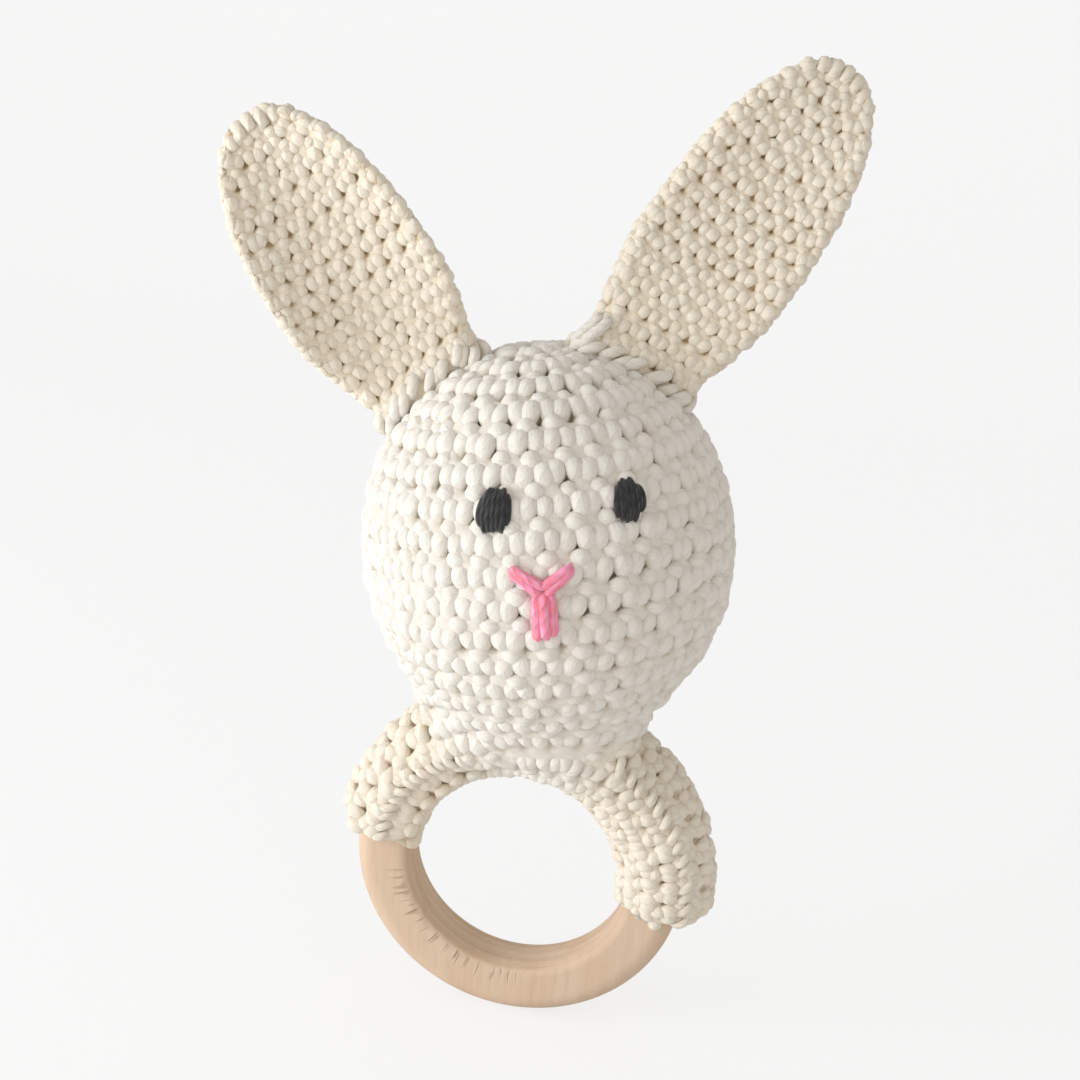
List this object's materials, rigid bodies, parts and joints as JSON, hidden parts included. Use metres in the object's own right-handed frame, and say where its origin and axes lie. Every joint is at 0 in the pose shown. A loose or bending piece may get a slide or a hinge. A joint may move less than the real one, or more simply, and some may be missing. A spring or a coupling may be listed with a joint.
{
  "type": "teething ring",
  "caption": "Wooden teething ring that turns in a crocheted sleeve, with a stuffed crocheted bunny head and floppy ears sewn on top.",
  "frame": {"origin": "the wooden ring's centre", "axes": "+Z from the ring's centre to the head, in the ring's plane; the ring's axis is Y and the face looks towards -Y; +X is to the right of someone who looks at the face"},
  "size_m": [0.0928, 0.0598, 0.1598],
  "materials": {
    "wood": "sanded smooth, unvarnished",
    "white_yarn": "crocheted, matt",
    "cream_yarn": "crocheted, matt",
    "filling": "loose fibre",
    "black_yarn": "satin stitch",
    "pink_yarn": "satin stitch"
  },
  "bodies": {
    "bunny": {"ring_sleeve": "cream_yarn", "sleeve_seam": "cream_yarn", "head_cover": "white_yarn", "head_filling": "filling", "neck_seam": "white_yarn", "ear_left_seam": "cream_yarn", "ear_right_seam": "cream_yarn", "eye_left": "black_yarn", "eye_right": "black_yarn", "nose_stitch_left": "pink_yarn", "nose_stitch_right": "pink_yarn", "mouth_stitch": "pink_yarn"},
    "ring": {"wooden_ring": "wood"},
    "left_ear": {"ear_left": "cream_yarn"},
    "right_ear": {"ear_right": "cream_yarn"}
  },
  "joints": [
    {"name": "ring_turn", "type": "hinge", "parent": "bunny", "child": "ring", "pos_m": [0, 0, 0], "axis": [0, 1, 0], "continuous": true},
    {"name": "left_ear_flop", "type": "hinge", "parent": "bunny", "child": "left_ear", "pos_m": [-0.02232, -0.00111, 0.08234], "axis": [0.764, 0.2238, 0.6051], "range_deg": [-45, 60], "stiffness_Nm_per_rad": 0.02},
    {"name": "right_ear_flop", "type": "hinge", "parent": "bunny", "child": "right_ear", "pos_m": [0.01189, 0.00624, 0.08794], "axis": [0.8537, 0.1031, -0.5104], "range_deg": [-45, 60], "stiffness_Nm_per_rad": 0.02}
  ]
}
